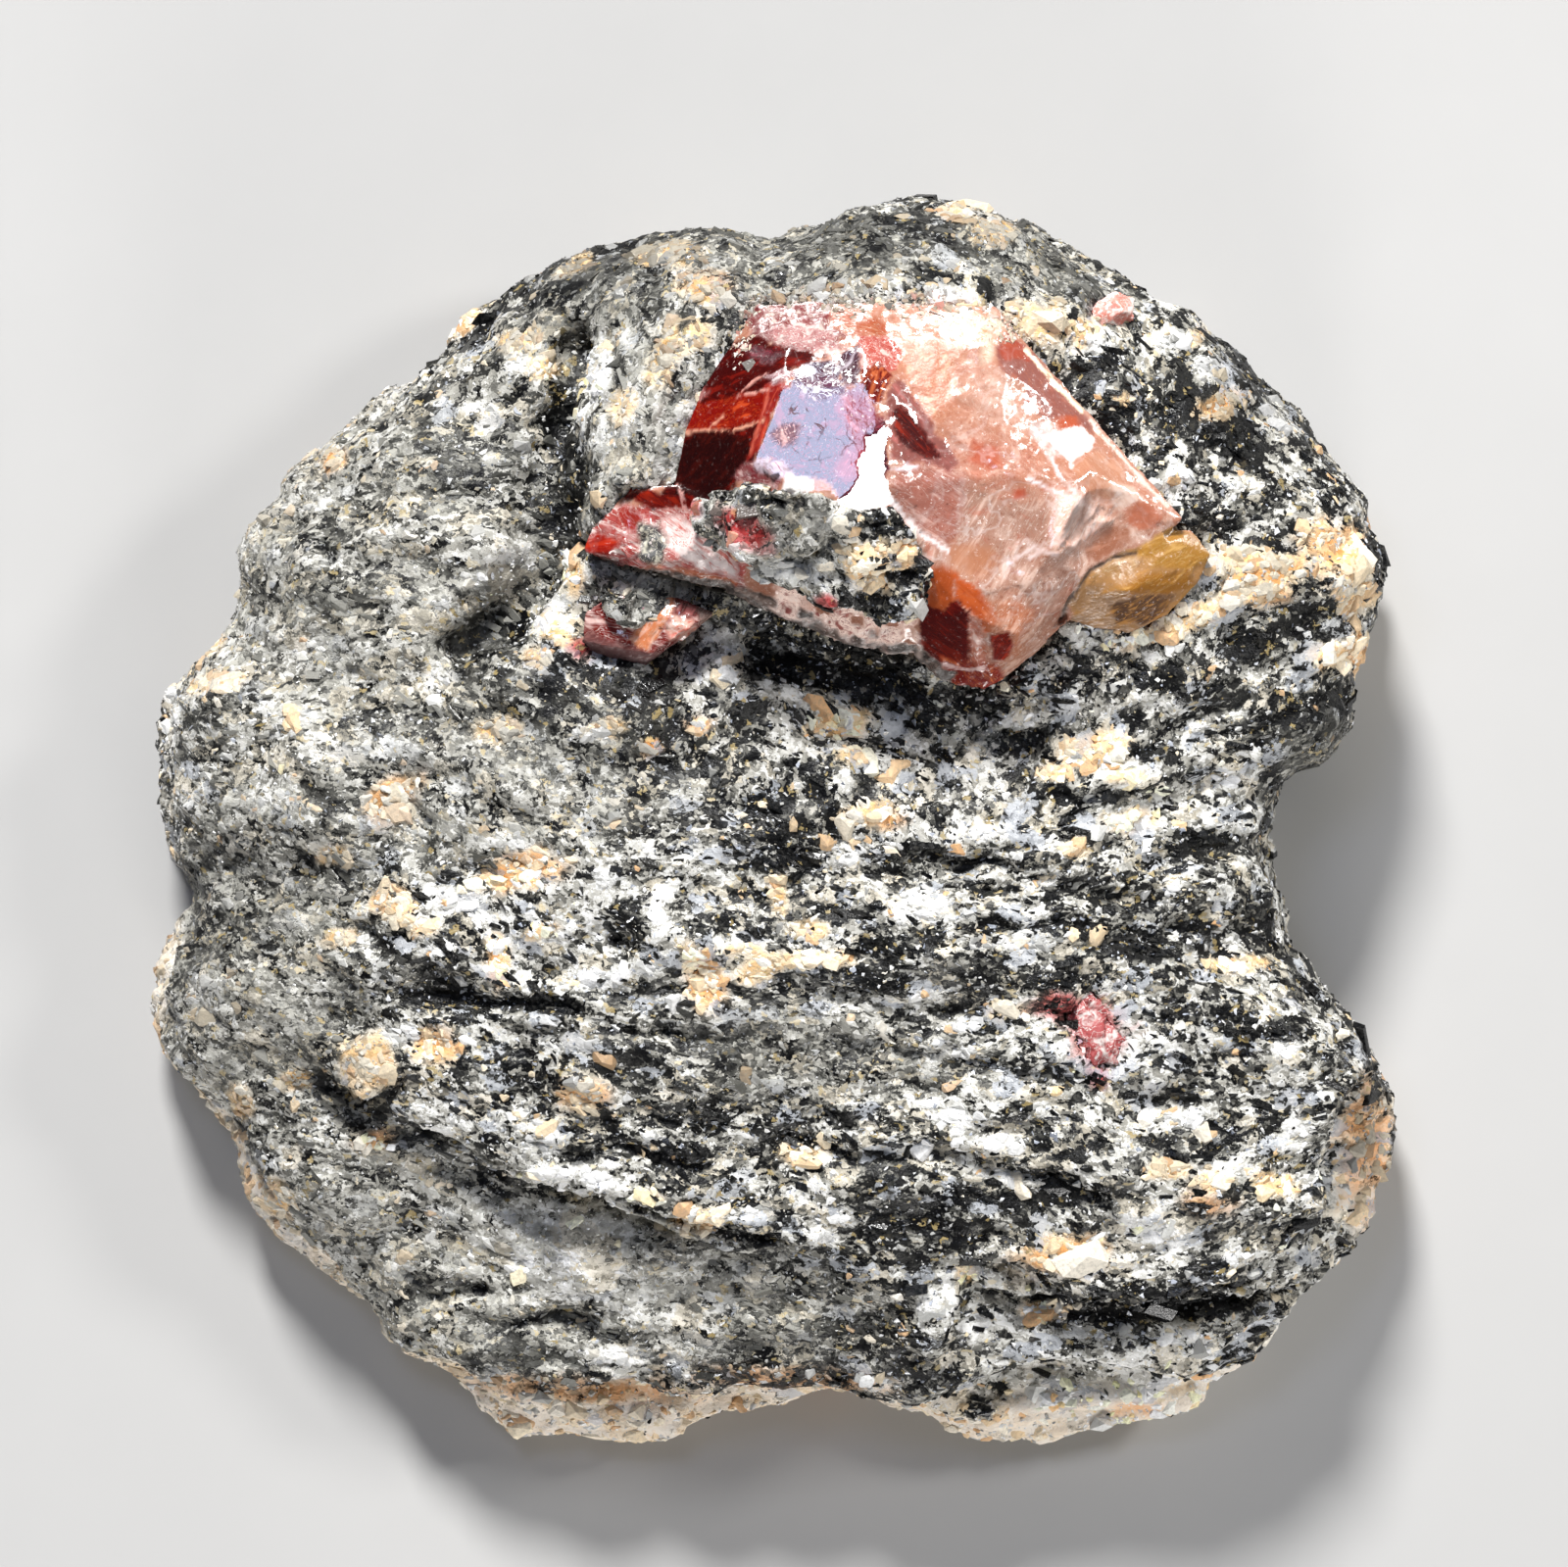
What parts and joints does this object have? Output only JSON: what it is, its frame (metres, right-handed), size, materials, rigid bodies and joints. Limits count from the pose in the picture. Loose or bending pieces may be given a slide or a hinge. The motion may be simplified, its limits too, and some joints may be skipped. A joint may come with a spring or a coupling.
{
  "type": "zircon crystal specimen",
  "caption": "Red-brown zircon crystal, broken across its top, standing out of a rounded slab of dark biotite gneiss that lies on its flat back.",
  "frame": {"origin": "middle of the bounding box on the flat back that the slab rests on", "axes": "+Z out of the face that holds the crystal, +Y from the middle of the slab towards the crystal's side of the rim, +X to the right of that"},
  "size_m": [0.0599, 0.0598, 0.0255],
  "materials": {
    "gneiss": "matte",
    "zircon": "polished"
  },
  "bodies": {
    "root": {"gneiss_matrix": "gneiss", "zircon_main": "zircon", "zircon_side": "zircon", "zircon_small_north": "zircon", "zircon_small_south": "zircon", "crust_on_main": "gneiss", "crust_on_side": "gneiss"}
  },
  "joints": []
}
